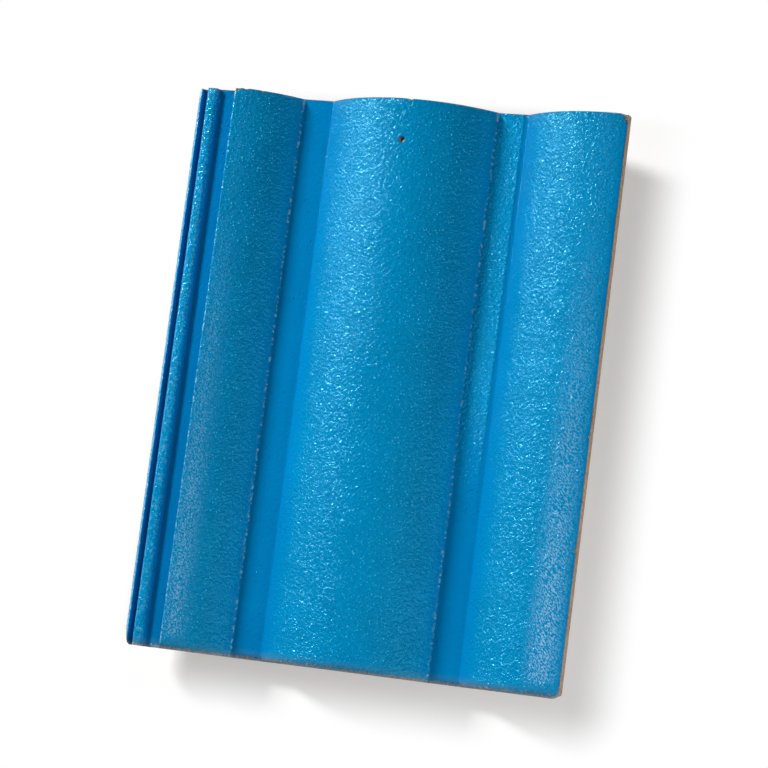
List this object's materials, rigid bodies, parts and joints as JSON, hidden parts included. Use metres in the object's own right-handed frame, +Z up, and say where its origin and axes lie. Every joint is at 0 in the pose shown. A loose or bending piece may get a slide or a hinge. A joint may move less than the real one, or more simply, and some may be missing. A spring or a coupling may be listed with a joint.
{
  "type": "roof tile",
  "caption": "Interlocking double-roll roof tile with broad rounded rolls, narrow flat pans, a grooved left underlock, a nail hole and a glossy blue sanded coat.",
  "frame": {"origin": "centre of the tile's box, on the level surface that it lies on", "axes": "+Y up the slope to the head, +X across the slope to the overlock edge, +Z up from the surface that it lies on; the tile's own top leans back by 1.2 degrees, because it lies on its nibs and its first weather bar"},
  "size_m": [0.336, 0.4246, 0.0543],
  "materials": {
    "coated_concrete": "satin"
  },
  "bodies": {
    "root": {"roof_tile": "coated_concrete"}
  },
  "joints": []
}
